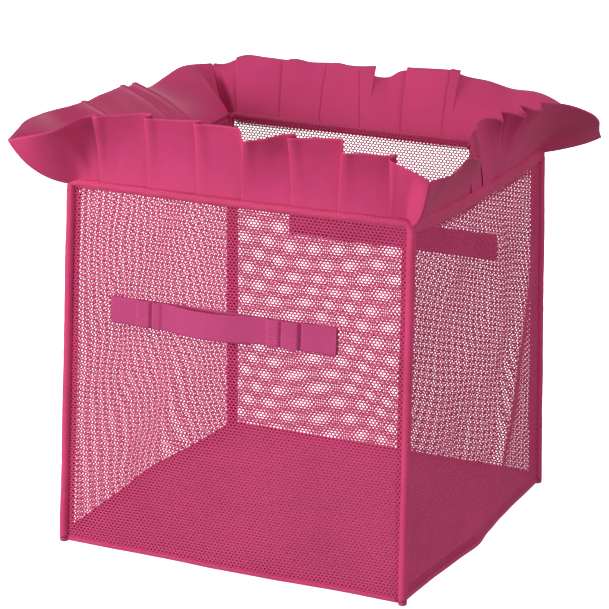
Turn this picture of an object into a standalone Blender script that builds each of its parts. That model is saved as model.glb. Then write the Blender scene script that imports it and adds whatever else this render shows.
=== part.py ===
"""Free-standing mesh laundry bag with a pleated ruffle round its open top.

Two spring-wire frames, each an upside-down U, stand in the front and the back face. Fabric sleeves and a
rim piping cover them, and plastic tips cap their legs. Between them hang four mesh walls over a woven
floor. The left and right sides and the floor hold no wire, so the front frame folds flat against the back
frame. Both of those faces carry a webbing handle.

Metres, +Z up, the front face looks along -Y, and the origin is on the floor below the bag's middle.
"""

import math

import bmesh
import bpy
from mathutils import Matrix, Vector

# Driving dimensions of the body, over the outsides of the corner sleeves.
RIM_WIDTH = 0.350
RIM_DEPTH = 0.338
BASE_WIDTH = 0.3615
BASE_DEPTH = 0.3665
RIM_HEIGHT = 0.3527

# Frame wire and the fabric tubes round it.
WIRE_RADIUS = 0.0016
BEND_RADIUS = 0.009
BEND_STEPS = 5
SLEEVE_RADIUS = 0.0042
SLEEVE_CLOTH = 0.0007
SLEEVE_FOOT = 0.0043
WIRE_FOOT = 0.0060

# Leg tips, which are the bag's feet.
TIP_BASE_THICKNESS = 0.0038
TIP_NECK_RADIUS = 0.0024
TIP_BORE_RADIUS = 0.0020
TIP_TOP = 0.0110
TIP_BORE_FLOOR = 0.0055

# Flat goods.
GAP = 0.0003
MESH_THICKNESS = 0.0010
CLOTH_THICKNESS = 0.0008
WALL_FOOT = 0.0035
FLOOR_LEVEL = 0.0037
FLOOR_EDGE_INSET = 0.0010
FLOOR_CORNER_CUT = 0.0055
HEM_HEIGHT = 0.0090
FACING_HEIGHT = 0.0120
FACING_END_INSET = 0.0045
BINDING_HEIGHT = 0.0130
BINDING_THICKNESS = 0.0020

# Ruffle: a pleated strip sewn to the rim and flaring outwards.
RUFFLE_THICKNESS = 0.0014
RUFFLE_PLEATS = 7
RUFFLE_ROWS = 4
PLEAT_FACE_SHARE = 0.86
PLEAT_DEPTH_AT_RIM = 0.0008
PLEAT_DEPTH_AT_EDGE = 0.0060
RUFFLE_END_INSET = 0.0018
RUFFLE_LIFT = 0.0012
FRONT_RUFFLE_FLARE = 0.030
FRONT_RUFFLE_RISE = 0.072
SIDE_RUFFLE_FLARE = 0.050
SIDE_RUFFLE_RISE = 0.054
CORNER_RUFFLE_FLARE = 0.042
CORNER_RUFFLE_RISE = 0.046
RUFFLE_CORNER_SHARPNESS = 5

# Handles: a base strip sewn flat, a strap over it that is folded and tacked at both ends.
WEBBING_WIDTH = 0.0255
WEBBING_THICKNESS = 0.0012
HANDLE_LENGTH = 0.231
HANDLE_OFFSET = -0.0105
HANDLE_LEVELS = {"front": 0.2375, "back": 0.2450}
FOLD_WIDTH = 0.018
FOLD_HEIGHT = 0.0034
LEFT_FOLD_START = 0.029
RIGHT_FOLD_START = 0.160
GRIP_BOW = 0.0120
GRIP_THICKNESS = 0.0014
GRIP_STEPS = 16

# Each face looks along its own direction, and its sideways direction runs left to right from outside.
FACES = {
    "front": Vector((0, -1, 0)),
    "right": Vector((1, 0, 0)),
    "back": Vector((0, 1, 0)),
    "left": Vector((-1, 0, 0)),
}
UP = Vector((0, 0, 1))


def clear_scene():
    for obj in list(bpy.data.objects):
        bpy.data.objects.remove(obj, do_unlink=True)


def new_collection(name):
    collection = bpy.data.collections.new(name)
    bpy.context.scene.collection.children.link(collection)
    return collection


def principled(name, colour, roughness, metallic=0.0):
    material = bpy.data.materials.new(name)
    material.use_nodes = True
    shader = material.node_tree.nodes["Principled BSDF"]
    shader.inputs["Base Color"].default_value = (*colour, 1.0)
    shader.inputs["Roughness"].default_value = roughness
    shader.inputs["Metallic"].default_value = metallic
    return material


def add_object(name, data, material, collection):
    obj = bpy.data.objects.new(name, data)
    data.materials.append(material)
    collection.objects.link(obj)
    return obj


def sideways(outward):
    """The direction that runs left to right on a face, for someone who looks at it from outside."""
    return UP.cross(outward)


def half_size(height, across):
    """Half the distance between the leg centres at a height, across X or Y."""
    rim, base = (RIM_WIDTH, BASE_WIDTH) if across == "x" else (RIM_DEPTH, BASE_DEPTH)
    share = height / RIM_HEIGHT
    return (base + (rim - base) * share) / 2 - SLEEVE_RADIUS


def leg_centre(side_x, side_y, height):
    return Vector((side_x * half_size(height, "x"), side_y * half_size(height, "y"), height))


def face_axes(face):
    """The outward distance and half width of a face as functions of height, named by their world axis."""
    return ("y", "x") if face in ("front", "back") else ("x", "y")


def face_point(face, along, height, offset=0.0):
    """A point on a face's middle plane: along it, at a height, moved outwards by an offset."""
    outward = FACES[face]
    out_axis, _ = face_axes(face)
    return outward * (half_size(height, out_axis) + offset) + sideways(outward) * along + UP * height


def face_half_width(face, height):
    _, along_axis = face_axes(face)
    return half_size(height, along_axis)


def filleted(points, radius):
    """A polyline whose inner corners are rounded to arcs of one radius."""
    rounded = [points[0]]
    for before, corner, after in zip(points, points[1:], points[2:]):
        towards_before = (before - corner).normalized()
        towards_after = (after - corner).normalized()
        half_angle = towards_before.angle(towards_after) / 2
        bisector = (towards_before + towards_after).normalized()
        centre = corner + bisector * (radius / math.sin(half_angle))
        tangent = radius / math.tan(half_angle)
        start = corner + towards_before * tangent - centre
        end = corner + towards_after * tangent - centre
        sweep = start.angle(end)
        for step in range(BEND_STEPS + 1):
            share = step / BEND_STEPS
            arm = start * math.sin((1 - share) * sweep) + end * math.sin(share * sweep)
            rounded.append(centre + arm / math.sin(sweep))
    rounded.append(points[-1])
    return rounded


def path_curve(name, points, radius, resolution, capped):
    curve = bpy.data.curves.new(name, "CURVE")
    curve.dimensions = "3D"
    curve.bevel_depth = radius
    curve.bevel_resolution = resolution
    curve.use_fill_caps = capped
    spline = curve.splines.new("POLY")
    spline.points.add(len(points) - 1)
    for spline_point, point in zip(spline.points, points):
        spline_point.co = (*point, 1.0)
    return curve


def wire(name, points, material, collection):
    return add_object(name, path_curve(name, points, WIRE_RADIUS, 2, True), material, collection)


def fabric_tube(name, points, material, collection):
    """A hollow tube of cloth round a path."""
    curve = path_curve(name, points, SLEEVE_RADIUS, 3, False)
    obj = add_object(name, curve, material, collection)
    cloth = obj.modifiers.new("cloth", "SOLIDIFY")
    cloth.thickness = SLEEVE_CLOTH
    cloth.offset = -1.0
    return obj


def plate(name, outline, thickness, origin, across, upwards, material, collection):
    """A flat piece: an outline in its own plane, with half its thickness on each side."""
    curve = bpy.data.curves.new(name, "CURVE")
    curve.dimensions = "2D"
    curve.fill_mode = "BOTH"
    curve.extrude = thickness / 2
    spline = curve.splines.new("POLY")
    spline.points.add(len(outline) - 1)
    for spline_point, (x, y) in zip(spline.points, outline):
        spline_point.co = (x, y, 0.0, 1.0)
    spline.use_cyclic_u = True
    obj = add_object(name, curve, material, collection)
    across = across.normalized()
    upwards = upwards.normalized()
    axes = Matrix((across, upwards, across.cross(upwards))).transposed()
    obj.matrix_world = Matrix.Translation(origin) @ axes.to_4x4()
    return obj


def face_plate(name, face, corners, thickness, offset, material, collection):
    """A plate on a face, from corners given as (distance along the face, height)."""
    foot = face_point(face, 0.0, 0.0, offset)
    slope = face_point(face, 0.0, RIM_HEIGHT, offset) - foot
    stretch = slope.length / RIM_HEIGHT
    outline = [(along, height * stretch) for along, height in corners]
    across = sideways(FACES[face])
    return plate(name, outline, thickness, foot, across, slope, material, collection)


def band_corners(face, low, high, inset):
    """The four corners of a level band on a face, its ends set in from the corner sleeves."""
    reach = SLEEVE_RADIUS + GAP + inset
    low_half = face_half_width(face, low) - reach
    high_half = face_half_width(face, high) - reach
    return [(-low_half, low), (low_half, low), (high_half, high), (-high_half, high)]


def wall_corners(face, top, corner_radius):
    """A wall's outline, with its upper corners rounded to clear the bent rim piping."""
    low_left, low_right, top_right, top_left = band_corners(face, WALL_FOOT, top, 0.0)
    if corner_radius <= 0:
        return [low_left, low_right, top_right, top_left]
    outline = [low_left, low_right]
    for (x, z), turn in ((top_right, 0), (top_left, 1)):
        side = -1 if turn else 1
        centre_x = x - side * corner_radius
        centre_z = z - corner_radius
        for step in range(BEND_STEPS + 1):
            angle = (turn + step / BEND_STEPS) * math.pi / 2
            outline.append(
                (centre_x + corner_radius * math.cos(angle), centre_z + corner_radius * math.sin(angle))
            )
    return outline


def build_frame(face, materials, collection):
    """The wire of the front or back face, with its piping, sleeves and tips."""
    side_y = FACES[face].y
    left, right = (-1, 1)
    corners = [
        leg_centre(left, side_y, WIRE_FOOT),
        leg_centre(left, side_y, RIM_HEIGHT),
        leg_centre(right, side_y, RIM_HEIGHT),
        leg_centre(right, side_y, WIRE_FOOT),
    ]
    wire(f"{face}_frame_wire", filleted(corners, BEND_RADIUS), materials["steel"], collection)

    piping_end = RIM_HEIGHT - BEND_RADIUS - 0.002
    piping = [leg_centre(left, side_y, piping_end), *corners[1:3], leg_centre(right, side_y, piping_end)]
    fabric_tube(f"{face}_rim_piping", filleted(piping, BEND_RADIUS), materials["cloth"], collection)

    for side_x, side_name in ((left, "left"), (right, "right")):
        legs = [
            leg_centre(side_x, side_y, SLEEVE_FOOT),
            leg_centre(side_x, side_y, piping_end - GAP),
        ]
        fabric_tube(f"{face}_{side_name}_sleeve", legs, materials["cloth"], collection)
        build_tip(f"{face}_{side_name}_tip", side_x, side_y, materials, collection)


def build_tip(name, side_x, side_y, materials, collection):
    """A turned plastic cap: a flat foot, a neck up inside the sleeve and a blind bore for the wire."""
    bevel = 0.0008
    profile = [
        (0.0, TIP_BORE_FLOOR),
        (TIP_BORE_RADIUS, TIP_BORE_FLOOR),
        (TIP_BORE_RADIUS, TIP_TOP),
        (TIP_NECK_RADIUS, TIP_TOP),
        (TIP_NECK_RADIUS, TIP_BASE_THICKNESS),
        (SLEEVE_RADIUS, TIP_BASE_THICKNESS),
        (SLEEVE_RADIUS, bevel),
        (SLEEVE_RADIUS - bevel, 0.0),
        (0.0, 0.0),
    ]
    mesh = bpy.data.meshes.new(name)
    edges = [(i, i + 1) for i in range(len(profile) - 1)]
    mesh.from_pydata([(radius, 0.0, height) for radius, height in profile], edges, [])
    obj = add_object(name, mesh, materials["plastic"], collection)
    obj.location = leg_centre(side_x, side_y, (TIP_TOP + WIRE_FOOT) / 2) * Vector((1, 1, 0))
    turn = obj.modifiers.new("turn", "SCREW")
    turn.steps = 16
    turn.render_steps = 16
    turn.use_merge_vertices = True
    turn.merge_threshold = 0.00001


def build_wall(face, materials, collection):
    """One mesh wall, with a facing inside its rim and the floor's turned-up hem inside its foot."""
    has_wire = face in ("front", "back")
    if has_wire:
        top = RIM_HEIGHT - SLEEVE_RADIUS - GAP
        corner_radius = BEND_RADIUS - SLEEVE_RADIUS - GAP
    else:
        top = RIM_HEIGHT + SLEEVE_RADIUS - BINDING_HEIGHT - GAP
        corner_radius = 0.0
    outline = wall_corners(face, top, corner_radius)
    face_plate(f"{face}_mesh_wall", face, outline, MESH_THICKNESS, 0.0, materials["mesh"], collection)

    layer = (MESH_THICKNESS + CLOTH_THICKNESS) / 2 + GAP
    inset = FACING_END_INSET if has_wire else FACING_END_INSET + layer
    band = band_corners(face, top - FACING_HEIGHT, top, inset)
    face_plate(f"{face}_rim_facing", face, band, CLOTH_THICKNESS, -layer, materials["mesh"], collection)

    hem_foot = FLOOR_LEVEL + CLOTH_THICKNESS + GAP
    hem = band_corners(face, hem_foot, hem_foot + HEM_HEIGHT, inset)
    face_plate(f"{face}_bottom_hem", face, hem, CLOTH_THICKNESS, -layer, materials["cloth"], collection)

    if not has_wire:
        band = band_corners(face, top + GAP, RIM_HEIGHT + SLEEVE_RADIUS, 0.0)
        face_plate(
            f"{face}_rim_binding", face, band, BINDING_THICKNESS, 0.0, materials["cloth"], collection
        )


def build_floor(materials, collection):
    """The woven floor between the walls, its corners cut off round the sleeves."""
    half_x = half_size(0.0, "x") - FLOOR_EDGE_INSET
    half_y = half_size(0.0, "y") - FLOOR_EDGE_INSET
    cut = FLOOR_CORNER_CUT
    outline = [
        (-half_x + cut, -half_y),
        (half_x - cut, -half_y),
        (half_x, -half_y + cut),
        (half_x, half_y - cut),
        (half_x - cut, half_y),
        (-half_x + cut, half_y),
        (-half_x, half_y - cut),
        (-half_x, -half_y + cut),
    ]
    origin = UP * (FLOOR_LEVEL + CLOTH_THICKNESS / 2)
    plate(
        "floor_panel",
        outline,
        CLOTH_THICKNESS,
        origin,
        Vector((1, 0, 0)),
        Vector((0, 1, 0)),
        materials["cloth"],
        collection,
    )


def pleat_columns():
    """The places of the pleat folds along a ruffle, from 0 to 1, with each fold's side of the cloth."""
    columns = []
    for pleat in range(RUFFLE_PLEATS):
        columns.append((pleat / RUFFLE_PLEATS, 1.0))
        columns.append(((pleat + PLEAT_FACE_SHARE) / RUFFLE_PLEATS, 0.0))
    columns[-1] = (1.0, 0.0)
    return columns


def ruffle_point(face, along, up, fold):
    """A point of a ruffle: along the rim from -1 to 1, up the cloth from 0 to 1, on one side of a pleat."""
    has_wire = face in ("front", "back")
    flare = FRONT_RUFFLE_FLARE if has_wire else SIDE_RUFFLE_FLARE
    rise = FRONT_RUFFLE_RISE if has_wire else SIDE_RUFFLE_RISE
    corner = abs(along) ** RUFFLE_CORNER_SHARPNESS
    flare += (CORNER_RUFFLE_FLARE - flare) * corner
    rise += (CORNER_RUFFLE_RISE - rise) * corner
    rim_half = face_half_width(face, RIM_HEIGHT) - RUFFLE_END_INSET
    half = rim_half + CORNER_RUFFLE_FLARE * up
    depth = (PLEAT_DEPTH_AT_RIM + (PLEAT_DEPTH_AT_EDGE - PLEAT_DEPTH_AT_RIM) * up) * fold
    base = RIM_HEIGHT + SLEEVE_RADIUS + RUFFLE_LIFT
    point = face_point(face, along * half, RIM_HEIGHT, flare * up + depth)
    point.z = base + rise * math.sin(up * math.pi / 2)
    return point


def build_ruffle(face, materials, collection):
    """One pleated section of the ruffle, from corner to corner."""
    name = f"{face}_ruffle"
    shape = bmesh.new()
    grid = []
    for row in range(RUFFLE_ROWS + 1):
        up = row / RUFFLE_ROWS
        grid.append(
            [
                shape.verts.new(ruffle_point(face, 2 * place - 1, up, fold))
                for place, fold in pleat_columns()
            ]
        )
    for lower, upper in zip(grid, grid[1:]):
        for column in range(len(lower) - 1):
            shape.faces.new((lower[column], lower[column + 1], upper[column + 1], upper[column]))
    mesh = bpy.data.meshes.new(name)
    shape.to_mesh(mesh)
    shape.free()
    obj = add_object(name, mesh, materials["ruffle"], collection)
    cloth = obj.modifiers.new("cloth", "SOLIDIFY")
    cloth.thickness = RUFFLE_THICKNESS
    cloth.offset = 0.0


def ridged_profile(width, folds):
    """The cross-section of a folded strap end: a flat foot with one rounded ridge for each fold."""
    steps_per_fold = 6
    valley = GRIP_THICKNESS
    outline = [(0.0, 0.0), (width, 0.0)]
    for step in range(folds * steps_per_fold + 1):
        share = step / (folds * steps_per_fold)
        ridge = abs(math.sin(share * folds * math.pi)) ** 0.5
        outline.append((width * (1 - share), valley + (FOLD_HEIGHT - valley) * ridge))
    return outline


def bowed_profile(span):
    """The cross-section of the free strap: a thin band that bows away from the wall in its middle."""
    inner = []
    for step in range(GRIP_STEPS + 1):
        share = step / GRIP_STEPS
        inner.append((span * share, GRIP_BOW * math.sin(math.pi * share) ** 1.3))
    outer = [(x, y + GRIP_THICKNESS) for x, y in reversed(inner)]
    return inner + outer


def build_handle(face, materials, collection):
    """The base strip, two folded strap ends and the free grip of one handle."""
    outward = FACES[face]
    across = sideways(outward)
    level = HANDLE_LEVELS[face]
    start = HANDLE_OFFSET - HANDLE_LENGTH / 2
    layer = (MESH_THICKNESS + WEBBING_THICKNESS) / 2 + GAP
    corners = [
        (start, level - WEBBING_WIDTH / 2),
        (start + HANDLE_LENGTH, level - WEBBING_WIDTH / 2),
        (start + HANDLE_LENGTH, level + WEBBING_WIDTH / 2),
        (start, level + WEBBING_WIDTH / 2),
    ]
    webbing = materials["webbing"]
    face_plate(f"{face}_handle_base", face, corners, WEBBING_THICKNESS, layer, webbing, collection)

    slope = face_point(face, 0.0, RIM_HEIGHT) - face_point(face, 0.0, 0.0)
    normal = across.cross(slope).normalized()
    surface = layer + WEBBING_THICKNESS / 2 + GAP
    pieces = (
        ("left_fold", LEFT_FOLD_START, ridged_profile(FOLD_WIDTH, 1)),
        ("grip", LEFT_FOLD_START + FOLD_WIDTH + GAP, None),
        ("right_fold", RIGHT_FOLD_START, ridged_profile(2 * FOLD_WIDTH, 2)),
    )
    grip_span = RIGHT_FOLD_START - LEFT_FOLD_START - FOLD_WIDTH - 2 * GAP
    for part, place, profile in pieces:
        outline = profile or bowed_profile(grip_span)
        origin = face_point(face, start + place, level) + normal * surface
        name = f"{face}_handle_{part}"
        plate(name, outline, WEBBING_WIDTH, origin, across, normal, webbing, collection)


def main():
    clear_scene()
    collection = new_collection("mesh_laundry_bag")
    materials = {
        "mesh": principled("mesh", (0.55, 0.075, 0.19), 0.75),
        "cloth": principled("cloth", (0.50, 0.055, 0.16), 0.70),
        "ruffle": principled("ruffle", (0.56, 0.055, 0.17), 0.55),
        "webbing": principled("webbing", (0.50, 0.070, 0.19), 0.70),
        "steel": principled("steel", (0.60, 0.60, 0.62), 0.35, 1.0),
        "plastic": principled("plastic", (0.45, 0.045, 0.13), 0.45),
    }
    for face in ("front", "back"):
        build_frame(face, materials, collection)
        build_handle(face, materials, collection)
    for face in FACES:
        build_wall(face, materials, collection)
        build_ruffle(face, materials, collection)
    build_floor(materials, collection)


main()
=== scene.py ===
"""Looks of the mesh laundry bag.

Two bent spring wires in cloth tubes hold up four walls of knitted net, a woven floor, a pleated taffeta
ruffle round the rim and a webbing handle on the front and back walls.
"""
import math

import bpy
import numpy as np
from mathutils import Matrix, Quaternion, Vector, noise


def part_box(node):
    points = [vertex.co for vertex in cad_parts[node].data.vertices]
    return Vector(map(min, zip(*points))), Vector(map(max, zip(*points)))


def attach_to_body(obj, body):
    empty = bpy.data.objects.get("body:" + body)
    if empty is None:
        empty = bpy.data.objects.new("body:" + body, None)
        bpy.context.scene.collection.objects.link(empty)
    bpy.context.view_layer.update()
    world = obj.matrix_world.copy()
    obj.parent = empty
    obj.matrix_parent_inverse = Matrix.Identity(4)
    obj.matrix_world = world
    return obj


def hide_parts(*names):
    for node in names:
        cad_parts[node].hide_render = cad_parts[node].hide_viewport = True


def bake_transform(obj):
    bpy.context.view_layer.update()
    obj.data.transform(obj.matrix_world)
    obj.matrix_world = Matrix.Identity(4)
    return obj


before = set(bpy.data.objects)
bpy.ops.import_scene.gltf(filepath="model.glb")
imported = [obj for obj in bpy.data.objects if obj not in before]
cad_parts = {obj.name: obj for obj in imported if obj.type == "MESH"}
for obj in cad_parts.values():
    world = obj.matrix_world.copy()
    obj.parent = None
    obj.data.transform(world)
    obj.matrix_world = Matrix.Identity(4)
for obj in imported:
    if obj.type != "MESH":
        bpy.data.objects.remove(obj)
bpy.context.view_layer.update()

# Sizes in metres. The cloth tubes round the wires, and the radius of the piping's bend at a corner.
TUBE_RADIUS = 0.0042
PIPING_BEND = 0.0055

# The net: hole spacing along a row, row spacing, a hole's share of its cell across and up, and how far the
# yarn stands out from the sheet. The net runs past the panel's ends into the hem and into the rim, and on a
# wired face the doubled net starts a little below the tube.
NET_PITCH = 0.00388
NET_ROW = 0.00275
NET_HOLE = (0.65, 0.58)
NET_RELIEF = 0.00030
NET_INTO_HEM = 0.0012
NET_INTO_RIM = 0.0035
WIRED_FACING_DEPTH = 0.0080

# How far each wall swells outwards, and a seed so that no two walls ripple alike.
SWELL = {"front": 0.0020, "back": 0.0020, "right": 0.0040, "left": 0.0030}
RIPPLE_SEED = {"front": 1.0, "right": 7.0, "back": 13.0, "left": 19.0}

# Thicknesses of the cloths and of the webbing.
RUFFLE_CLOTH = 0.0005
SEAM_CLOTH = 0.0005
BAND_CLOTH = 0.0006
FLOOR_THICKNESS = 0.0007
WEBBING_THICKNESS = 0.0012

# The ruffle: its width, half the distance between a pleat's layers, the spacing of its columns, how far a
# fold's rounded edge stands out and how far back it reaches, how far it drops at a corner, and the height
# and flare of its curve along a section and at a corner tip.
RUFFLE_WIDTH = 0.0775
LAYER = 0.0010
COLUMN_STEP = 0.0036
FOLD_ROLL = 0.0028
FOLD_REACH = 0.011
CORNER_DROP = 0.0045
KNEE_RISE = (0.50, 0.15)
KNEE_FLARE = (0.16, 0.62)

# Stitches: the thread is thickest at the middle of a stitch.
STITCH_LENGTH = 0.0026
STITCH_GAP = 0.0011
STITCH_RADIUS = 0.00028
STITCH_END_SHARE = 0.35

# The handles: how far out of the wall the two layers of webbing lie, how far the grip bows out, and how far
# a tuck stands up and its creases cut in.
BASE_LIFT = 0.0018
STRAP_LIFT = 0.0038
GRIP_BOW = 0.0062
TUCK_HEIGHT = 0.0017
CREASE_DEPTH = 0.0024
CREASE_HALF_WIDTH = 0.0015

# Each face from its left corner to its right corner, for someone outside the bag.
FACE_CORNERS = {
    "front": (("front", "left"), ("front", "right")),
    "right": (("front", "right"), ("back", "right")),
    "back": (("back", "right"), ("back", "left")),
    "left": (("back", "left"), ("front", "left")),
}
OUTWARD = {
    "front": Vector((0, -1, 0)),
    "right": Vector((1, 0, 0)),
    "back": Vector((0, 1, 0)),
    "left": Vector((-1, 0, 0)),
}
SIDEWAYS = {"left": Vector((-1, 0, 0)), "right": Vector((1, 0, 0))}
UP = Vector((0, 0, 1))


# ---------------------------------------------------------------- places, from the frame


def leg_ends(face, side):
    """Foot and top of a leg's centre line. The legs stand wider at the foot than at the rim."""
    low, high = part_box(f"{face}_{side}_sleeve")
    right = side == "right"
    front = face == "front"
    foot = Vector((
        high.x - TUBE_RADIUS if right else low.x + TUBE_RADIUS,
        low.y + TUBE_RADIUS if front else high.y - TUBE_RADIUS,
        low.z,
    ))
    top = Vector((
        low.x + TUBE_RADIUS if right else high.x - TUBE_RADIUS,
        high.y - TUBE_RADIUS if front else low.y + TUBE_RADIUS,
        high.z,
    ))
    return foot, top


LEGS = {(face, side): leg_ends(face, side) for face in ("front", "back") for side in ("left", "right")}
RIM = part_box("front_rim_piping")[1].z - TUBE_RADIUS
RUFFLE_BASE = RIM + 0.0018


def leg_point(corner, height):
    """The point of a leg's centre line at a height."""
    foot, top = LEGS[corner]
    return foot + (top - foot) * ((height - foot.z) / (top.z - foot.z))


def wall_point(face, share, height, out=0.0):
    """A point of a face: share runs from -1 to 1 between its corner legs."""
    left, right = (leg_point(corner, height) for corner in FACE_CORNERS[face])
    return left.lerp(right, (share + 1) / 2) + OUTWARD[face] * out


def half_width(face, height):
    """Half the distance between a face's legs at a height."""
    left, right = (leg_point(corner, height) for corner in FACE_CORNERS[face])
    return (right - left).length / 2


def wall_place(face, along, height, out=0.0):
    """A point of a face, with its distance from the middle of the face in metres."""
    return wall_point(face, along / half_width(face, height), height, out)


def attach(piece, face):
    """Front and back pieces ride on their frame, and those between them are left free, with their placement
    baked into their mesh.
    """
    if face in ("front", "back"):
        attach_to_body(piece, f"{face}_frame")
    else:
        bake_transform(piece)


# ---------------------------------------------------------------- mesh helpers


def smooth(share):
    """A soft step from 0 to 1 as share runs from 0 to 1."""
    share = min(max(share, 0.0), 1.0)
    return share * share * (3 - 2 * share)


def wave(point, scale, seed=0.0):
    """Smooth noise from -1 to 1, with bumps about one scale wide."""
    return noise.noise(Vector(point) / scale + Vector((seed, seed * 1.7, -seed)))


def mesh_object(name, points, faces, material, uvs):
    """A smooth-shaded piece. uvs are places on the flat cloth in metres, one for each point."""
    mesh = bpy.data.meshes.new(name)
    mesh.from_pydata([tuple(point) for point in points], [], faces)
    layer = mesh.uv_layers.new(name="cloth")
    corners = np.array([loop.vertex_index for loop in mesh.loops])
    layer.data.foreach_set("uv", np.array(uvs, np.float32)[corners].ravel())
    mesh.shade_smooth()
    mesh.materials.append(material)
    obj = bpy.data.objects.new(name, mesh)
    bpy.context.scene.collection.objects.link(obj)
    return obj


def grid_faces(rows, columns, ring=False):
    """The quads of a grid of points. A ring joins the last column to the first."""
    faces = []
    for r in range(rows - 1):
        for c in range(columns if ring else columns - 1):
            d = (c + 1) % columns
            faces.append((r * columns + c, r * columns + d, (r + 1) * columns + d, (r + 1) * columns + c))
    return faces


def grid_object(name, rows, material, uv_rows):
    """A surface through rows of points."""
    points = [point for row in rows for point in row]
    uvs = [uv for row in uv_rows for uv in row]
    return mesh_object(name, points, grid_faces(len(rows), len(rows[0])), material, uvs)


def thicken(obj, thickness, levels=0):
    """Smooths a sheet, gives it its thickness and makes the result its mesh."""
    if levels:
        finer = obj.modifiers.new("finer", "SUBSURF")
        finer.levels = levels
        finer.render_levels = levels
    cloth = obj.modifiers.new("cloth", "SOLIDIFY")
    cloth.thickness = thickness
    cloth.offset = 0.0
    bpy.context.view_layer.update()
    shape = bpy.data.meshes.new_from_object(obj.evaluated_get(bpy.context.evaluated_depsgraph_get()))
    obj.modifiers.clear()
    obj.data = shape
    obj.data.name = obj.name
    return obj


def tube(name, centres, radii, across, outward, folds):
    """A closed cloth tube round a path: across holds each ring's direction, and folds(row, angle) adds to
    its radius."""
    sides = 20
    points = []
    uvs = []
    length = 0.0
    for i, centre in enumerate(centres):
        if i:
            length += (centre - centres[i - 1]).length
        for side in range(sides):
            angle = 2 * math.pi * side / sides
            radius = radii[i] + folds(i, angle)
            points.append(centre + (across[i] * math.cos(angle) + outward * math.sin(angle)) * radius)
            uvs.append((angle * radii[i], length))
    faces = grid_faces(len(centres), sides, ring=True)
    last = len(points) - sides
    faces.append(tuple(reversed(range(sides))))
    faces.append(tuple(range(last, last + sides)))
    return mesh_object(name, points, faces, TUBE_CLOTH, uvs)


def stitches(name, path, normal):
    """A row of separate thread stitches along a path, on a surface that faces along normal."""
    points = []
    faces = []
    step = STITCH_LENGTH + STITCH_GAP
    lengths = np.cumsum([0.0] + [(b - a).length for a, b in zip(path, path[1:])])
    count = int(lengths[-1] / step)
    xyz = np.array([tuple(point) for point in path])
    for i in range(count):
        places = np.array([i * step, i * step + STITCH_LENGTH])
        ends = [Vector([np.interp(place, lengths, xyz[:, axis]) for axis in range(3)]) for place in places]
        side = (ends[1] - ends[0]).normalized().cross(normal) * STITCH_RADIUS
        lift = normal * STITCH_RADIUS
        middle = (ends[0] + ends[1]) / 2 + lift
        first = len(points)
        for centre, size in ((ends[0], STITCH_END_SHARE), (middle, 1.0), (ends[1], STITCH_END_SHARE)):
            for corner in (side, lift, -side, -lift):
                points.append(centre + corner * size)
        for ring in (0, 4):
            for k in range(4):
                n = (k + 1) % 4
                faces.append((first + ring + k, first + ring + n, first + ring + 4 + n, first + ring + 4 + k))
        faces.append((first + 3, first + 2, first + 1, first))
        faces.append((first + 8, first + 9, first + 10, first + 11))
    return mesh_object(name, points, faces, THREAD, [(0.0, 0.0)] * len(points))


# ---------------------------------------------------------------- materials


def add_node(tree, kind, **values):
    """A shader node, with values for its settings and for its inputs by name."""
    made = tree.nodes.new(kind)
    for key, value in values.items():
        if hasattr(made, key):
            setattr(made, key, value)
        else:
            made.inputs[key.replace("_", " ")].default_value = value
    return made


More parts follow.
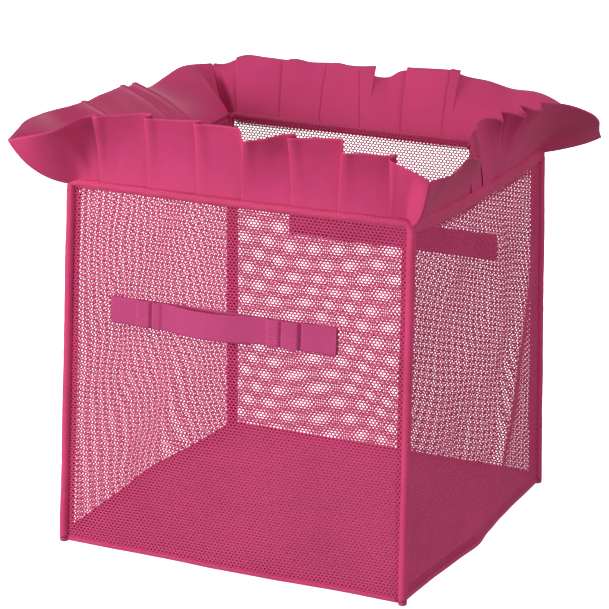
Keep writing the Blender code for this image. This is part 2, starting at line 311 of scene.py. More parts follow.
def cloth_material(name, colour, roughness, sheen, threads, relief, variation, groove_shade=0.0):
    """Woven cloth: crossing threads in its bump, and slow changes of colour over it. threads are the thread
    pitches along and across the cloth, relief is their height, variation is the share that the colour
    changes by, and the last argument is painted shade: it darkens the colour in the grooves between the
    threads."""
    material = bpy.data.materials.new(name)
    material.use_nodes = True
    tree = material.node_tree
    shader = tree.nodes["Principled BSDF"]
    shader.inputs["Roughness"].default_value = roughness
    shader.inputs["Sheen Weight"].default_value = sheen
    shader.inputs["Sheen Roughness"].default_value = 0.45
    shader.inputs["Sheen Tint"].default_value = (1.0, 0.62, 0.76, 1.0)
    shader.inputs["Specular IOR Level"].default_value = 0.20

    place = add_node(tree, "ShaderNodeTexCoord")
    blotch = add_node(tree, "ShaderNodeTexNoise", Scale=17.0, Detail=3.0, Roughness=0.55)
    tree.links.new(place.outputs["Object"], blotch.inputs["Vector"])
    shades = add_node(tree, "ShaderNodeValToRGB")
    dark = [channel * (1 - variation) for channel in colour]
    light = [min(1.0, channel * (1 + variation)) for channel in colour]
    shades.color_ramp.elements[0].position = 0.3
    shades.color_ramp.elements[0].color = (*dark, 1.0)
    shades.color_ramp.elements[1].position = 0.7
    shades.color_ramp.elements[1].color = (*light, 1.0)
    tree.links.new(blotch.outputs["Fac"], shades.inputs["Fac"])

    heights = []
    for direction, pitch in (("X", threads[0]), ("Y", threads[1])):
        thread = add_node(tree, "ShaderNodeTexWave", bands_direction=direction, Scale=math.pi / 10 / pitch)
        thread.inputs["Distortion"].default_value = 0.4
        thread.inputs["Detail"].default_value = 1.0
        tree.links.new(place.outputs["UV"], thread.inputs["Vector"])
        heights.append(thread)
    weave = add_node(tree, "ShaderNodeMath", operation="MAXIMUM")
    tree.links.new(heights[0].outputs["Fac"], weave.inputs[0])
    tree.links.new(heights[1].outputs["Fac"], weave.inputs[1])
    bump = add_node(tree, "ShaderNodeBump", Strength=1.0, Distance=relief)
    tree.links.new(weave.outputs["Value"], bump.inputs["Height"])
    tree.links.new(bump.outputs["Normal"], shader.inputs["Normal"])

    # Painted shade: the base colour is darkened where the weave is low, in the grooves between the threads.
    groove = add_node(tree, "ShaderNodeMapRange")
    groove.inputs["From Min"].default_value = 0.0
    groove.inputs["From Max"].default_value = 0.6
    groove.inputs["To Min"].default_value = 1.0 - groove_shade
    groove.inputs["To Max"].default_value = 1.0
    tree.links.new(weave.outputs["Value"], groove.inputs["Value"])
    shade = add_node(tree, "ShaderNodeMix", data_type="RGBA", blend_type="MULTIPLY")
    shade.inputs[0].default_value = 1.0
    tree.links.new(shades.outputs["Color"], shade.inputs[6])
    tree.links.new(groove.outputs["Result"], shade.inputs[7])
    tree.links.new(shade.outputs[2], shader.inputs["Base Color"])
    return material


def solid_material(name, colour, roughness, metallic=0.0, grain=0.0001):
    """Plastic or metal with a fine grain."""
    material = bpy.data.materials.new(name)
    material.use_nodes = True
    tree = material.node_tree
    shader = tree.nodes["Principled BSDF"]
    shader.inputs["Base Color"].default_value = (*colour, 1.0)
    shader.inputs["Roughness"].default_value = roughness
    shader.inputs["Metallic"].default_value = metallic
    place = add_node(tree, "ShaderNodeTexCoord")
    grains = add_node(tree, "ShaderNodeTexNoise", Scale=900.0, Detail=2.0)
    tree.links.new(place.outputs["Object"], grains.inputs["Vector"])
    bump = add_node(tree, "ShaderNodeBump", Strength=0.6, Distance=grain)
    tree.links.new(grains.outputs["Fac"], bump.inputs["Height"])
    tree.links.new(bump.outputs["Normal"], shader.inputs["Normal"])
    return material


TAFFETA = cloth_material(
    "taffeta", (0.53, 0.043, 0.148), roughness=0.62, sheen=0.03,
    threads=(0.0005, 0.0007), relief=0.00003, variation=0.05,
)
NET_YARN = cloth_material(
    "net_yarn", (0.52, 0.045, 0.150), roughness=0.75, sheen=0.15,
    threads=(0.0009, 0.0009), relief=0.00010, variation=0.06,
)
WOVEN = cloth_material(
    "woven_cloth", (0.50, 0.040, 0.130), roughness=0.70, sheen=0.12,
    threads=(0.0010, 0.0010), relief=0.00010, variation=0.07, groove_shade=0.12,
)
FLOOR_CLOTH = cloth_material(
    "floor_cloth", (0.66, 0.080, 0.235), roughness=0.72, sheen=0.06,
    threads=(0.0022, 0.0022), relief=0.00020, variation=0.05, groove_shade=0.22,
)
TUBE_CLOTH = cloth_material(
    "tube_cloth", (0.52, 0.040, 0.135), roughness=0.65, sheen=0.12,
    threads=(0.0008, 0.0008), relief=0.00006, variation=0.08, groove_shade=0.06,
)
WEBBING = cloth_material(
    "webbing", (0.46, 0.048, 0.165), roughness=0.75, sheen=0.10,
    threads=(0.0018, 0.0020), relief=0.00022, variation=0.06, groove_shade=0.50,
)
THREAD = solid_material("thread", (0.66, 0.16, 0.32), 0.6)
TIP_PLASTIC = solid_material("tip_plastic", (0.45, 0.045, 0.13), 0.42)
WIRE_STEEL = solid_material("wire_steel", (0.60, 0.60, 0.62), 0.32, 1.0, 0.00002)


# ---------------------------------------------------------------- net walls


def net_arrays(width, height, along_shift):
    """Whole honeycomb cells that fill a rectangle: flat points, faces round the holes, and which points are
    on a hole's rim."""
    pitch = NET_PITCH
    row = NET_ROW
    half = pitch / 2
    tall = row * 2 / 3
    short = row / 3
    border = np.array([(0, -tall), (half, -short), (half, short), (0, tall), (-half, short), (-half, -short)])
    centres = []
    rows = int((height - 2 * tall) / row) + 1
    start = tall + (height - 2 * tall - (rows - 1) * row) / 2
    for r in range(rows):
        shift = (half if r % 2 else 0.0) + along_shift
        count = int((width / 2 - half - abs(shift)) / pitch)
        columns = np.arange(-count - 1, count + 2) * pitch + shift
        columns = columns[np.abs(columns) <= width / 2 - half + 1e-9]
        centres.append(np.stack([columns, np.full(len(columns), start + r * row)], 1))
    centres = np.concatenate(centres)
    outer = centres[:, None, :] + border[None]
    inner = centres[:, None, :] + (border * NET_HOLE)[None]
    keys = np.round(outer.reshape(-1, 2) * 1e6).astype(np.int64)
    _, first, back = np.unique(keys, axis=0, return_index=True, return_inverse=True)
    rims = outer.reshape(-1, 2)[first]
    points = np.concatenate([rims, inner.reshape(-1, 2)])
    at_hole = np.concatenate([np.zeros(len(rims)), np.ones(len(inner) * 6)])
    outer_ids = back.reshape(-1, 6)
    inner_ids = len(rims) + np.arange(len(inner) * 6).reshape(-1, 6)
    quads = []
    for k in range(6):
        n = (k + 1) % 6
        quads.append(np.stack([outer_ids[:, k], outer_ids[:, n], inner_ids[:, n], inner_ids[:, k]], 1))
    return points, np.concatenate(quads), at_hole


def net_object(name, points, quads, uvs):
    """A net's mesh, filled in from arrays because it has so many faces."""
    mesh = bpy.data.meshes.new(name)
    mesh.vertices.add(len(points))
    mesh.vertices.foreach_set("co", points.astype(np.float32).ravel())
    mesh.loops.add(quads.size)
    mesh.loops.foreach_set("vertex_index", quads.astype(np.int32).ravel())
    mesh.polygons.add(len(quads))
    mesh.polygons.foreach_set("loop_start", np.arange(0, quads.size, 4, dtype=np.int32))
    mesh.polygons.foreach_set("loop_total", np.full(len(quads), 4, np.int32))
    mesh.update(calc_edges=True)
    mesh.validate()
    layer = mesh.uv_layers.new(name="cloth")
    layer.data.foreach_set("uv", uvs[quads.ravel()].astype(np.float32).ravel())
    mesh.shade_smooth()
    mesh.materials.append(NET_YARN)
    obj = bpy.data.objects.new(name, mesh)
    bpy.context.scene.collection.objects.link(obj)
    return obj


def wall_slack(face, share, rise):
    """How far a slack wall stands out of its plane: share from -1 to 1 across, rise from 0 to 1 up."""
    edge = (1 - share**2) * min(1.0, (1 - rise) * 5)
    swell = SWELL[face] * math.sin(math.pi * min(1.0, rise + 0.1))
    seed = RIPPLE_SEED[face]
    place = (share * 0.17, rise * 0.35, 0)
    ripple = wave(place, 0.085, seed) * 0.0045 + wave(place, 0.030, seed + 3) * 0.0010
    droop = 0.0
    if face in SIDEWAYS:
        # No wire holds a side wall down, so it hangs out over its foot.
        droop = 0.0075 * math.exp(-((share + 0.1) / 0.45) ** 2) * math.exp(-rise * 5)
    if face == "right":
        # A soft crease that runs down from the back corner towards the middle of the foot.
        crease = 0.07 + rise * 1.06
        fading = smooth(rise * 5) * smooth((0.95 - rise) * 3)
        droop += 0.0070 * math.exp(-((share - crease) / 0.13) ** 2) * fading
    return (swell + ripple) * edge + droop * (1 - share**2)


def net_piece(name, face, low, high, inset, out, along_shift=0.0, round_tube=0.0):
    """A stretch of net on a face between two heights, following the wall's slack. round_tube is how far its
    top stands inwards to pass the rim's tube."""
    middle = (low + high) / 2
    width = 2 * (half_width(face, middle) - inset)
    flat, quads, at_hole = net_arrays(width, high - low, along_shift)
    points = np.zeros((len(flat), 3))
    for i, (along, up) in enumerate(flat):
        share = along / (width / 2)
        height = low + up
        rise = height / RIM
        pull = wave((along, height, 0), 0.11, 31.0) * 0.0011 * (1 - share**2)
        lift = wave((along, height, 0), 0.13, 43.0) * 0.0014 * (1 - share**2) * 4 * rise * (1 - rise)
        relief = -NET_RELIEF if at_hole[i] else NET_RELIEF
        inwards = round_tube * smooth((height - RIM + 0.013) / 0.007)
        offset = out + wall_slack(face, share, rise) + relief - inwards
        half = half_width(face, height) - inset
        points[i] = wall_point(face, (share * half + pull) / half_width(face, height), height + lift, offset)
    return net_object(name, points, quads, flat)


def build_walls():
    """The net walls, each with the doubled net along its rim, its hem and its selvage."""
    for face in FACE_CORNERS:
        wired = face not in SIDEWAYS
        panel_low, panel_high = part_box(f"{face}_mesh_wall")
        low = panel_low.z - NET_INTO_HEM
        high = panel_high.z + NET_INTO_RIM
        wall = net_piece(f"{face}_net", face, low, high, inset=0.0012, out=0.0)
        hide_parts(f"{face}_mesh_wall")

        facing = net_piece(
            f"{face}_net_facing",
            face,
            RIM - WIRED_FACING_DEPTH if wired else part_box(f"{face}_rim_facing")[0].z,
            RIM + (0.0045 if wired else -0.001),
            inset=0.0062 if wired else 0.0045,
            out=-0.0016,
            along_shift=NET_PITCH / 4,
            round_tube=TUBE_RADIUS if wired else 0.0,
        )
        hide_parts(f"{face}_rim_facing")

        hem_low, hem_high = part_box(f"{face}_bottom_hem")
        hem = cloth_band(
            f"{face}_hem", face, hem_low.z - 0.0014, hem_high.z - 0.002, inset=0.0044, out=-0.0016,
            thickness=BAND_CLOTH,
        )
        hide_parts(f"{face}_bottom_hem")

        selvage = cloth_band(
            f"{face}_selvage", face, low - 0.0008, low + 0.0034, inset=0.0030, out=0.0003,
            thickness=SEAM_CLOTH,
        )
        parts = [facing, hem, selvage]
        for part in (wall, *parts):
            attach(part, face)


def cloth_band(name, face, low, high, inset, out, thickness):
    """A level band of cloth on a face, following the wall's slack."""
    steps = 60
    rows = 4
    grid = []
    uv = []
    for r in range(rows + 1):
        height = low + (high - low) * r / rows
        half = half_width(face, height) - inset
        line = []
        uv_line = []
        for c in range(steps + 1):
            share = 2 * c / steps - 1
            slack = wall_slack(face, share, height / RIM)
            line.append(wall_point(face, share * half / half_width(face, height), height, out + slack))
            uv_line.append((share * half, height))
        grid.append(line)
        uv.append(uv_line)
    return thicken(grid_object(name, grid, WOVEN, uv), thickness)


# ---------------------------------------------------------------- floor


def edge_pull(x, y, low, high, level):
    """How far the floor's edge moves sideways to follow the slack of the walls beside it."""
    pull = Vector((0, 0, 0))
    insets = {"left": x - low.x, "right": high.x - x, "front": y - low.y, "back": high.y - y}
    for face, inset in insets.items():
        along = y if face in SIDEWAYS else x
        turned = -1 if face in ("left", "back") else 1
        share = min(1.0, max(-1.0, turned * along / half_width(face, level)))
        near = 1 - smooth(inset / 0.03)
        pull += OUTWARD[face] * near * wall_slack(face, share, level / RIM)
    return pull


def build_floor():
    """The woven floor: slightly slack, with its edges turned up inside the walls."""
    low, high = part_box("floor_panel")
    steps = 56
    level = high.z + 0.0002
    turn_up = 0.0060
    turn_reach = 0.004
    corner_lift = 0.001
    settle = 0.02
    grid = []
    uv = []
    for r in range(steps + 1):
        line = []
        uv_line = []
        for c in range(steps + 1):
            x = low.x + (high.x - low.x) * c / steps
            y = low.y + (high.y - low.y) * r / steps
            inset_x = min(x - low.x, high.x - x)
            inset_y = min(y - low.y, high.y - y)
            edge = min(inset_x, inset_y)
            slack = 0.0011 * wave((x, y, 0), 0.09, 5) + 0.0005 * wave((x, y, 0), 0.03, 9)
            height = level + turn_up * math.exp(-edge / turn_reach)
            height += (slack + 0.0011) * min(1.0, edge / settle)
            if min(inset_x, settle) + min(inset_y, settle) < 0.3 * settle:
                height += corner_lift
            line.append(Vector((x * 0.996, y * 0.996, height)) + edge_pull(x, y, low, high, level))
            uv_line.append((x, y))
        grid.append(line)
        uv.append(uv_line)
    floor = thicken(grid_object("woven_floor", grid, FLOOR_CLOTH, uv), FLOOR_THICKNESS)
    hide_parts("floor_panel")
    attach(floor, "floor")


# ---------------------------------------------------------------- tubes round the wires


def build_sleeve(face, side):
    """The cloth casing of a leg, puckered where it is stitched."""
    foot, top = LEGS[face, side]
    outward = OUTWARD[face]
    sideways = SIDEWAYS[side]
    steps = 120
    centres = []
    radii = []
    for i in range(steps + 1):
        share = i / steps
        centre = foot.lerp(top, share) + UP * (0.0002 + 0.003 * share)
        drift = wave((0, 0, centre.z), 0.05, 3 if side == "left" else 8)
        centres.append(centre + sideways * drift * 0.0005 + outward * drift * 0.0004)
        radii.append(TUBE_RADIUS * (1 + 0.05 * wave((0, 0, centre.z), 0.012, 17)))
    folds = [0.00022 * wave((0, i * 0.003, 0), 0.006, 23) for i in range(steps + 1)]
    sleeve = tube(
        f"{face}_{side}_casing",
        centres,
        radii,
        [sideways] * (steps + 1),
        outward,
        lambda i, angle: folds[i] * math.sin(2 * angle + i * 0.35),
    )
    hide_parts(f"{face}_{side}_sleeve")
    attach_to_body(sleeve, f"{face}_frame")


def build_seam(face, side, wall):
    """The seam allowance of a wall, a narrow strip inside it beside a leg."""
    foot, top = LEGS[face, side]
    end = -1 if FACE_CORNERS[wall][0] == (face, side) else 1
    steps = 60
    start = foot.z + 0.004
    grid = []
    uv = []
    for i in range(steps + 1):
        height = start + (top.z - start) * i / steps
        half = half_width(wall, height)
        ripple = 0.0006 * wave((0, 0, height), 0.02, 29)
        line = []
        uv_line = []
        for inset, out in ((0.0030, -0.0008), (0.0060, -0.0014), (0.0095 + ripple, -0.0017)):
            share = end * (half - inset) / half
            line.append(wall_point(wall, share, height, out + wall_slack(wall, share, height / RIM)))
            uv_line.append((inset, height))
        grid.append(line)
        uv.append(uv_line)
    seam = thicken(grid_object(f"{face}_{side}_seam_{wall}", grid, WOVEN, uv), SEAM_CLOTH)
    attach(seam, wall)


def piping_end(corner, inward, drop):
    """Centres and upper sides of one end of the piping, from down the leg to where the bend meets the rim."""
    centres = []
    ups = []
    for i in range(9):
        centres.append(corner - UP * (drop - (drop - PIPING_BEND) * i / 8))
        ups.append(-inward)
    for i in range(1, 9):
        angle = math.pi / 2 * i / 8
        level = inward * (1 - math.cos(angle)) - UP * (1 - math.sin(angle))
        centres.append(corner + level * PIPING_BEND)
        ups.append(UP * math.sin(angle) - inward * math.cos(angle))
    return centres, ups


def build_piping(face):
    """The tube along a wired rim, bent down over the legs at both ends, and the stitches through it."""
    outward = OUTWARD[face]
    left = leg_point((face, "left"), RIM)
    right = leg_point((face, "right"), RIM)
    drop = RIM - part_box(f"{face}_rim_piping")[0].z + 0.0005
    left_path, left_ups = piping_end(left, SIDEWAYS["right"], drop)
    right_path, right_ups = piping_end(right, SIDEWAYS["left"], drop)
    steps = int((right - left).length / 0.004)
    middle_path = []
    for i in range(1, steps):
        share = i / steps
        sag = -0.0012 * math.sin(math.pi * share) + 0.0005 * wave((share, 0, 0), 0.06, 41)
        middle_path.append(left_path[-1].lerp(right_path[-1], share) + UP * sag)
    path = left_path + middle_path + right_path[::-1]
    ups = left_ups + [UP] * len(middle_path) + right_ups[::-1]
    radii = [TUBE_RADIUS * (1 + 0.06 * wave((i * 0.1, 0, 0), 0.17, 47)) for i in range(len(path))]
    piping = tube(
        f"{face}_piping", path, radii, ups, outward, lambda i, angle: 0.00018 * math.sin(3 * angle + i * 0.9)
    )
    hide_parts(f"{face}_rim_piping")
    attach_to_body(piping, f"{face}_frame")

    on_tube = (outward * 0.82 + UP * 0.62) * TUBE_RADIUS
    line = [point + on_tube for point in middle_path]
    thread = stitches(f"{face}_piping_stitches", line, (outward + UP * 0.6).normalized())
    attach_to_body(thread, f"{face}_frame")
    inside = [wall_place(face, x, RIM + 0.0030, -0.0078) for x in np.linspace(left.x, right.x, 80) * 0.93]
    inner_thread = stitches(f"{face}_facing_stitches", inside, -outward)
    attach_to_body(inner_thread, f"{face}_frame")


def side_sag(face, share):
    """How far the soft rim of a side hangs below the wired rims."""
    return (0.0060 if face == "right" else 0.0045) * (1 - share**2) ** 0.7


def build_binding(face):
    """A soft side rim: a band of cloth that sags between the frames."""
    low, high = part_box(f"{face}_rim_binding")
    steps = 80
    # The band's section, from its lower edge: share of its height, and how far out it stands.
    section = [(0.0, -0.0012), (0.0, 0.0014), (0.4, 0.0022), (0.8, 0.0022), (1.0, 0.0012), (1.0, -0.0010)]
    grid = []
    uv = []
    for c in range(steps + 1):
        share = 2 * c / steps - 1
        sag = side_sag(face, share)
        line = []
        uv_line = []
        for up, out in section:
            height = low.z - 0.001 + (high.z - low.z) * up
            ripple = 0.0006 * wave((share, up, 0), 0.15, 53)
            point = wall_point(face, share * 0.985, height, out + ripple + wall_slack(face, share, 0.95))
            line.append(point - UP * sag)
            uv_line.append((share * 0.16, up * 0.013))
        grid.append(line)
        uv.append(uv_line)
    binding = thicken(grid_object(f"{face}_binding", grid, TUBE_CLOTH, uv), BAND_CLOTH, 1)
    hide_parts(f"{face}_rim_binding")
    attach(binding, face)


# ---------------------------------------------------------------- ruffle

# Tips of the ruffle, past the rim's corners: outwards along X and Y, and up.
TIPS = {
    ("front", "left"): (0.043, 0.042, 0.041),
    ("front", "right"): (0.032, 0.040, 0.049),
    ("back", "right"): (0.047, 0.047, 0.006),
    ("back", "left"): (0.042, 0.041, 0.043),
}

# The pleats in order round each face. A pleat runs from its outer fold to where it tucks under the next one,
# through columns of cloth: place at the rim and place at the free edge, in mm from the middle of the face,
# then how far the cloth leans outwards, in degrees, and its share of the full width where it is drawn down.
# The first and last pleats run into the corner tips.
PLEATS = {
    "front": [
        [(-155, -155, 40), (-145, -135, 25), (-135, -125, 22)],
        [(-140, -130, 25), (-115, -100, 17), (-95, -85, 14), (-85, -75, 14)],
        [(-90, -80, 20), (-65, -55, 18), (-45, -35, 16), (-35, -25, 15)],
        [(-40, -30, 20), (-20, -15, 20), (0, 5, 20), (10, 15, 20)],
        [(5, 25, 30), (30, 45, 26), (50, 60, 20), (60, 70, 18)],
        [(55, 65, 24), (80, 85, 22), (95, 100, 20), (105, 115, 18)],
        [(100, 120, 30), (125, 140, 30), (145, 165, 28), (155, 170, 28)],
        [(150, 165, 32), (155, 175, 36), (165, 190, 40)],
    ],
    "right": [
        [(-140, -180, 38), (-120, -160, 36), (-70, -115, 30), (-20, -75, 30), (5, -55, 26)],
        [(-25, -85, 20), (-10, -60, 12), (5, -50, 8), (15, -45, 4)],
        [(5, -40, 4), (25, -10, 4), (35, 0, 12), (45, 5, 17)],
        [(50, 20, 7), (55, 26, 17), (60, 33, 27)],
        [(65, 45, 14), (72, 52, 25), (78, 60, 30)],
        [(83, 71, 22), (95, 85, 28), (115, 105, 35), (145, 135, 50)],
    ],
    "back": [
        [(-155, -140, 56), (-135, -115, 55), (-110, -95, 50), (-75, -60, 42), (-65, -55, 38)],
        [(-75, -65, 40), (-50, -35, 40), (-25, -10, 41), (-20, -5, 41)],
        [
            (-30, -15, 44), (-20, 5, 46), (-10, 15, 50, 0.95),
            (5, 30, 46, 0.9), (20, 40, 43, 0.9), (25, 45, 42, 0.9),
        ],
        [(15, 30, 45), (20, 40, 45), (40, 60, 46), (65, 80, 46), (70, 85, 45, 0.95)],
        [(55, 75, 47), (65, 80, 47), (85, 105, 47), (110, 125, 46), (115, 135, 45, 0.95)],
        [(105, 120, 47), (110, 125, 48), (135, 155, 47), (160, 185, 46), (165, 190, 45, 0.95)],
        [(155, 175, 46), (160, 185, 48), (165, 205, 52)],
    ],
    "left": [
        [(-160, -175, 56), (-150, -150, 62), (-125, -120, 65), (-95, -85, 60), (-85, -75, 58)],
        [(-90, -70, 50), (-80, -60, 50), (-60, -40, 52), (-55, -30, 52)],
        [(-60, -40, 46), (-45, -25, 46), (-10, 10, 48), (20, 40, 50), (30, 50, 50)],
        [(20, 45, 45), (50, 75, 45), (90, 95, 50), (130, 140, 50)],
    ],
}


# A column of the ruffle: its place along the rim, its free edge's place, how far out and up the free edge
# stands, the layer's distance from the rim's plane, and its share of the way from the section to the tip.


def tip_column(face, end):
    """The column at a corner tip, at the left end (-1) or the right end (1) of a face."""
    rim_half = half_width(face, RIM)
    tip = TIPS[FACE_CORNERS[face][0 if end < 0 else 1]]
    along, out = (tip[1], tip[0]) if face in SIDEWAYS else (tip[0], tip[1])
    return (end * rim_half, end * (rim_half + along), out, tip[2], 0.0, 1.0)


def pleat_column(layer, base, edge, lean, drawn=1.0):
    """A column of a pleat, from its numbers in PLEATS and the distance of its layer."""
    angle = math.radians(lean)
    width = math.sqrt((RUFFLE_WIDTH * drawn) ** 2 - ((edge - base) / 1000) ** 2)
    return (base / 1000, edge / 1000, width * math.sin(angle), width * math.cos(angle), layer, 0.0)


def smooth_columns(keys, rolled):
    """Evenly spaced columns on a smooth curve through a pleat's own. A rolled pleat bulges at its fold."""
    length = np.linalg.norm(np.diff(keys[:, 1:4], axis=0), axis=1)
    place = np.concatenate([[0.0], np.cumsum(length)])
    slopes = np.gradient(keys, place, axis=0)
    steps = max(4, round(place[-1] / COLUMN_STEP))
    columns = []
    for step in range(steps + 1):
        at = place[-1] * step / steps
        k = min(int(np.searchsorted(place, at, side="right")) - 1, len(place) - 2)
        span = place[k + 1] - place[k]
        t = (at - place[k]) / span
        column = (
            keys[k] * (2 * t**3 - 3 * t**2 + 1)
            + keys[k + 1] * (3 * t**2 - 2 * t**3)
            + (slopes[k] * (t**3 - 2 * t**2 + t) + slopes[k + 1] * (t**3 - t**2)) * span
        )
        if rolled:
            roll = FOLD_ROLL * math.sin(math.pi * min(1.0, at / FOLD_REACH))
            column[2] += roll * min(1.0, (place[-1] - at) / FOLD_REACH)
        columns.append(column)
    return columns


def ruffle_columns(face):
    """All columns of a section in order: each pleat, then the cloth that folds back under the next one."""
    columns = []
    pleats = PLEATS[face]
    last = len(pleats) - 1
    for index, pleat in enumerate(pleats):
        keys = []
        for i, key in enumerate(pleat):
            keys.append(pleat_column(LAYER * (1 - 2 * i / (len(pleat) - 1)), *key))
        if index == 0:
            keys.insert(0, tip_column(face, -1))
        if index == last:
            keys.append(tip_column(face, 1))
        columns += smooth_columns(np.array(keys), rolled=index > 0)
        if index < last:
            nearer = np.array(pleat_column(LAYER, *pleats[index + 1][0]))
            for share in (0.15, 0.5, 0.85):
                columns.append(columns[-1] + (nearer - columns[-1]) * share)
    return columns


def ruffle_point(face, column, place, v):
    """A point of a column: v runs from 0 at the rim to 1 at the free edge."""
    base, edge, out, up, layer, corner = column
    corner = smooth(corner)
    sag = side_sag(face, base / half_width(face, RIM)) if face in SIDEWAYS else 0.0
    level = RUFFLE_BASE - sag
    foot = wall_place(face, base, RIM, layer)
    foot.z = level - CORNER_DROP * corner
    top = wall_place(face, edge, RIM, out + layer)
    top.z = level + up
    rise = KNEE_RISE[0] + (KNEE_RISE[1] - KNEE_RISE[0]) * corner
    flare = KNEE_FLARE[0] + (KNEE_FLARE[1] - KNEE_FLARE[0]) * corner
    knee = foot + (top - foot) * Vector((flare, flare, rise))
    point = foot * (1 - v) ** 2 + knee * (2 * v * (1 - v)) + top * v**2

    # The cloth billows more towards its free edge, and is gathered finely near the rim.
    end, side = FACE_CORNERS[face][0 if base < 0 else 1]
    direction = OUTWARD[face].lerp((OUTWARD[end] + SIDEWAYS[side]) / 2, corner)
    billow = wave(point, 0.045, 61.0) * 0.0022 + wave(point, 0.018, 67.0) * 0.0007
    gather = wave((place * 6, v * 0.5, 0), 0.045, 83.0) * 0.0009 * math.sin(math.pi * v) * (1 - v)
    point += direction * (billow * v + gather * (1 - corner))
    point += UP * wave(point, 0.06, 71.0) * 0.0010 * v
    return point


def build_ruffle(face):
    """One section of the ruffle, from corner tip to corner tip."""
    columns = ruffle_columns(face)
    places = [0.0]
    for a, b in zip(columns, columns[1:]):
        places.append(places[-1] + abs(b[0] - a[0]) * 0.4 + abs(b[1] - a[1]) * 0.6)
    rows = 16
    grid = []
    uv = []
    for r in range(rows + 1):
        v = r / rows
        grid.append([ruffle_point(face, column, place, v) for column, place in zip(columns, places)])
        uv.append([(place, v * RUFFLE_WIDTH) for place in places])
    ruffle = thicken(grid_object(f"{face}_frill", grid, TAFFETA, uv), RUFFLE_CLOTH, 1)
    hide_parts(f"{face}_ruffle")
    attach(ruffle, face)


# ---------------------------------------------------------------- handles


def build_handle(face):
    """Webbing handle: a strip sewn flat, and a strap over it that is tucked and tacked near both ends."""
    low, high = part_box(f"{face}_handle_base")
    grip_low, grip_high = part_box(f"{face}_handle_grip")
    sign = 1 if face == "front" else -1
    start, end = sorted((low.x * sign, high.x * sign))
    grip_start, grip_end = sorted((grip_low.x * sign, grip_high.x * sign))
    middle = (low.z + high.z) / 2
    half = (high.z - low.z) / 2

    def strip(name, points, lift):
        """Webbing through points: place along the face, distance out, and how far it drops."""
        grid = []
        uv = []
        for level in range(9):
            up = (level / 4 - 1) * half
            line = []
            uv_line = []
            for along, out, drop in points:
                line.append(wall_place(face, along, middle + up + drop, lift + out))
                uv_line.append((along, up))
            grid.append(line)
            uv.append(uv_line)
        return thicken(grid_object(name, grid, WEBBING, uv), WEBBING_THICKNESS, 1)

    steps = 90
    flat = []
    for i in range(steps + 1):
        along = start + (end - start) * i / steps
        flat.append((along, 0.0003 * wave((along, 0, 0), 0.02, 73), 0.0))
    base = strip(f"{face}_base_strip", flat, BASE_LIFT)
    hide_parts(f"{face}_handle_base")
    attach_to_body(base, f"{face}_frame")

    # Each tuck is a raised stretch of strap with a crease in it: its middle, half length and crease places.
    tucks = (
        (grip_start - 0.006, 0.014, (grip_start - 0.004,)),
        (grip_end + 0.018, 0.018, (grip_end + 0.0155, grip_end + 0.0345)),
    )

    def strap_out(along):
        """How far the strap stands out: its grip bows, and its tucks rise with creases in them."""
        share = (along - grip_start) / (grip_end - grip_start)
        out = 0.0
        if 0 < share < 1:
            out = GRIP_BOW * math.sin(math.pi * share) ** 1.4
        for middle_place, reach, creases in tucks:
            out += TUCK_HEIGHT * smooth((reach - abs(along - middle_place)) / 0.004)
            for crease in creases:
                out -= CREASE_DEPTH * math.exp(-(((along - crease) / CREASE_HALF_WIDTH) ** 2))
        return out

    def strap_points(a, b):
        count = max(8, int((b - a) / 0.0009))
        places = [a + (b - a) * i / count for i in range(count + 1)]
        return [(x, strap_out(x), -0.0018 * smooth(strap_out(x) / 0.008)) for x in places]

    centre = (grip_start + grip_end) / 2
    pieces = (
        ("left_end", start + 0.001, grip_start, None),
        ("left_grip", grip_start, centre, "left"),
        ("right_grip", centre, grip_end, "right"),
        ("right_end", grip_end, end - 0.0005, None),
    )
    for name, a, b, grip in pieces:
        piece = strip(f"{face}_strap_{name}", strap_points(a, b), STRAP_LIFT)
        if grip is None:
            node = f"{face}_handle_left_fold" if name == "left_end" else f"{face}_handle_right_fold"
            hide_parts(node)
            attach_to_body(piece, f"{face}_frame")
        else:
            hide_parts(f"{face}_handle_grip")
            edge = wall_place(face, a if grip == "left" else b, middle)
            peak = wall_place(face, centre, middle)
            peak.y = edge.y
            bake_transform(piece)

    # The row of stitches that tacks each tuck down, just below the middle of the strap.
    for name, a, b in (("left", grip_start - 0.020, grip_start), ("right", grip_end, grip_end + 0.034)):
        places = [a + (b - a) * i / 40 for i in range(41)]
        line = [wall_place(face, x, middle - 0.0030, STRAP_LIFT + 0.0008 + strap_out(x)) for x in places]
        tack = stitches(f"{face}_tack_{name}", line, OUTWARD[face])
        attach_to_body(tack, f"{face}_frame")


# ---------------------------------------------------------------- carried-over CAD pieces, stage, camera


def dress_cad_nodes():
    """Gives the CAD's tips and wires, which are shown as they are, their materials."""
    for name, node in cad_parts.items():
        if name.endswith("_tip"):
            material = TIP_PLASTIC
        elif name.endswith("_frame_wire"):
            material = WIRE_STEEL
        else:
            continue
        for slot in node.material_slots:
            slot.material = material


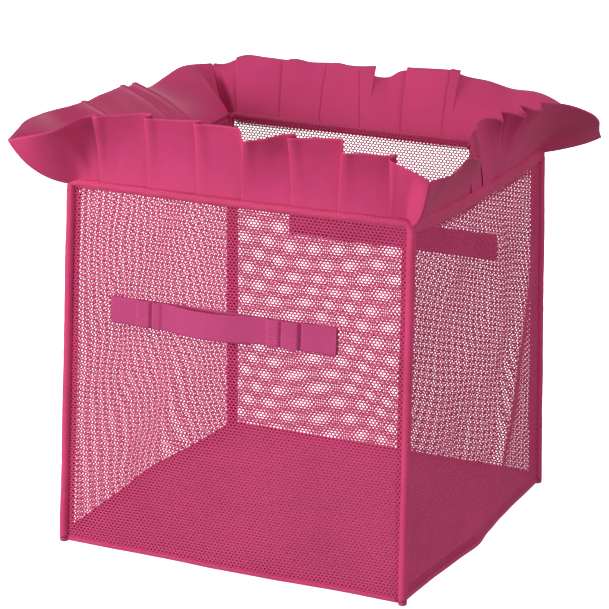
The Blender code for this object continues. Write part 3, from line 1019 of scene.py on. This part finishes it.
def build_stage():
    """A pale floor, a soft key from the front left, weaker fills and an even white surround."""
    floor_material = solid_material("pale_floor", (0.93, 0.93, 0.93), 0.9, 0.0, 0.00001)
    shader = floor_material.node_tree.nodes["Principled BSDF"]
    shader.inputs["Emission Color"].default_value = (1.0, 1.0, 1.0, 1.0)
    shader.inputs["Emission Strength"].default_value = 1.1
    bpy.ops.mesh.primitive_plane_add(size=60.0, location=(0, 0, 0))
    floor = bpy.context.active_object
    floor.name = "studio_floor"
    floor.data.materials.append(floor_material)
    floor.visible_diffuse = False
    floor.visible_glossy = False

    world = bpy.data.worlds.new("studio")
    world.use_nodes = True
    world.node_tree.nodes["Background"].inputs["Color"].default_value = (1.0, 1.0, 1.0, 1.0)
    world.node_tree.nodes["Background"].inputs["Strength"].default_value = 0.36
    bpy.context.scene.world = world

    # Each light's name, place, width and watts. They all face the middle of the bag.
    lights = (
        ("key", (-2.0, -2.5, 0.75), 1.5, 88.0),
        ("low_front", (-1.4, -2.4, 0.35), 1.0, 14.0),
        ("right_fill", (2.3, -1.0, 1.9), 1.6, 32.0),
        ("top", (0.3, -0.4, 2.6), 1.6, 6.0),
        ("back_fill", (-0.8, 2.8, 1.1), 1.6, 22.0),
    )
    for name, place, size, watts in lights:
        light = bpy.data.lights.new(name, "AREA")
        light.shape = "DISK"
        light.size = size
        light.energy = watts
        lamp = bpy.data.objects.new(name, light)
        lamp.location = place
        lamp.rotation_euler = (Vector((0, 0, 0.2)) - Vector(place)).to_track_quat("-Z", "Y").to_euler()
        bpy.context.scene.collection.objects.link(lamp)


def build_camera():
    """A long lens from the front right and a little above, leaning by less than a degree."""
    azimuth = math.radians(24.79)
    elevation = math.radians(16.30)
    lean = Quaternion((0, 0, 1), math.radians(0.708))
    distance = 2.48
    target = Vector((-0.0075, 0.0, 0.2125))
    level = Vector((math.sin(azimuth), -math.cos(azimuth), 0.0))
    away = level * math.cos(elevation) + UP * math.sin(elevation)
    data = bpy.data.cameras.new("camera")
    data.sensor_width = 36.0
    data.lens = 150.7
    camera = bpy.data.objects.new("camera", data)
    camera.location = target + away * distance
    camera.rotation_euler = ((-away).to_track_quat("-Z", "Y") @ lean).to_euler()
    bpy.context.scene.collection.objects.link(camera)
    bpy.context.scene.camera = camera


bpy.context.scene.view_settings.view_transform = "Standard"
build_camera()
build_stage()
build_walls()
build_floor()
for face, side in LEGS:
    build_sleeve(face, side)
    for wall in (face, side):
        build_seam(face, side, wall)
for face in ("front", "back"):
    build_piping(face)
for face in ("right", "left"):
    build_binding(face)
for face in FACE_CORNERS:
    build_ruffle(face)
for face in ("front", "back"):
    build_handle(face)
dress_cad_nodes()
